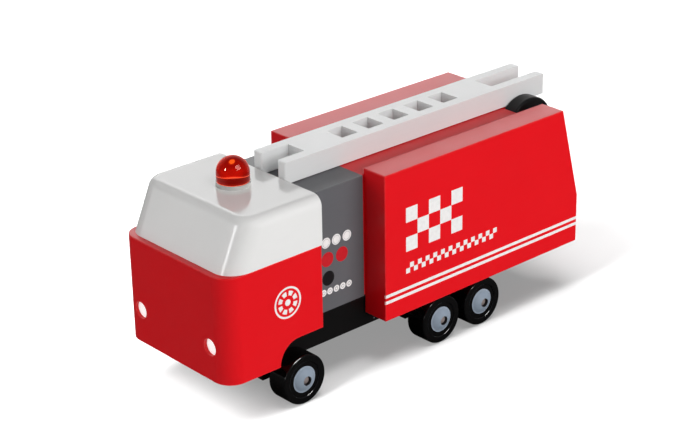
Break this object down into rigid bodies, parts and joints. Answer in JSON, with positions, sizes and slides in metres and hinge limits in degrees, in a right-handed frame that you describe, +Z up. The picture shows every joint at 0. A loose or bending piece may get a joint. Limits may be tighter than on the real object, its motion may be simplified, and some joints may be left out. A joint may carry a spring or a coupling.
{
  "type": "toy fire engine",
  "caption": "Painted wooden toy fire engine with a block cab, white roof, dome beacon, tall side panels, a white ladder that lifts at the rear and wheels that roll.",
  "frame": {"origin": "on the floor, at the middle of the engine's length and width", "axes": "+X forward, +Y to the engine's left, +Z up"},
  "size_m": [0.2166, 0.076, 0.1076],
  "materials": {
    "red_paint": "gloss",
    "white_paint": "gloss",
    "grey_paint": "satin",
    "black_paint": "satin",
    "tyre": "satin",
    "hub": "satin",
    "steel": "satin",
    "lamp_white": "gloss",
    "clear_plastic": "gloss",
    "beacon_red": "gloss",
    "black_plastic": "satin"
  },
  "bodies": {
    "engine": {"axle_front": "steel", "axle_rear": "steel", "axle_tail": "steel", "chassis_board": "black_paint", "axle_block_front": "black_paint", "axle_block_rear": "black_paint", "body_core": "red_paint", "pump_block": "grey_paint", "cab_body": "red_paint", "cab_roof": "white_paint", "beacon_base": "clear_plastic", "beacon_dome": "beacon_red", "side_panel_left": "red_paint", "side_panel_right": "red_paint", "headlight_left": "lamp_white", "headlight_right": "lamp_white", "ladder_axle": "steel"},
    "ladder": {"ladder_rail_left": "white_paint", "ladder_rail_right": "white_paint", "ladder_front_block": "white_paint", "ladder_rung_1": "white_paint", "ladder_rung_2": "white_paint", "ladder_rung_3": "white_paint", "ladder_rung_4": "white_paint", "ladder_rear_block": "white_paint", "pivot_disc_left": "black_plastic", "pivot_disc_right": "black_plastic"},
    "wheel_front_left": {"tyre_front_left": "tyre", "hub_front_left": "hub"},
    "wheel_front_right": {"tyre_front_right": "tyre", "hub_front_right": "hub"},
    "wheel_rear_left": {"tyre_rear_left": "tyre", "hub_rear_left": "hub"},
    "wheel_rear_right": {"tyre_rear_right": "tyre", "hub_rear_right": "hub"},
    "wheel_tail_left": {"tyre_tail_left": "tyre", "hub_tail_left": "hub"},
    "wheel_tail_right": {"tyre_tail_right": "tyre", "hub_tail_right": "hub"}
  },
  "joints": [
    {"name": "wheel_front_left_spin", "type": "hinge", "parent": "engine", "child": "wheel_front_left", "pos_m": [0.0662, 0.0298, 0.0116], "axis": [0, 1, 0], "continuous": true},
    {"name": "wheel_front_right_spin", "type": "hinge", "parent": "engine", "child": "wheel_front_right", "pos_m": [0.0662, -0.0298, 0.0116], "axis": [0, 1, 0], "continuous": true},
    {"name": "wheel_rear_left_spin", "type": "hinge", "parent": "engine", "child": "wheel_rear_left", "pos_m": [-0.0165, 0.0298, 0.0116], "axis": [0, 1, 0], "continuous": true},
    {"name": "wheel_rear_right_spin", "type": "hinge", "parent": "engine", "child": "wheel_rear_right", "pos_m": [-0.0165, -0.0298, 0.0116], "axis": [0, 1, 0], "continuous": true},
    {"name": "wheel_tail_left_spin", "type": "hinge", "parent": "engine", "child": "wheel_tail_left", "pos_m": [-0.0431, 0.0298, 0.0116], "axis": [0, 1, 0], "continuous": true},
    {"name": "wheel_tail_right_spin", "type": "hinge", "parent": "engine", "child": "wheel_tail_right", "pos_m": [-0.0431, -0.0298, 0.0116], "axis": [0, 1, 0], "continuous": true},
    {"name": "ladder_lift", "type": "hinge", "parent": "engine", "child": "ladder", "pos_m": [-0.0919, 0, 0.0812], "axis": [0, -1, 0], "range_deg": [0, 75]}
  ]
}
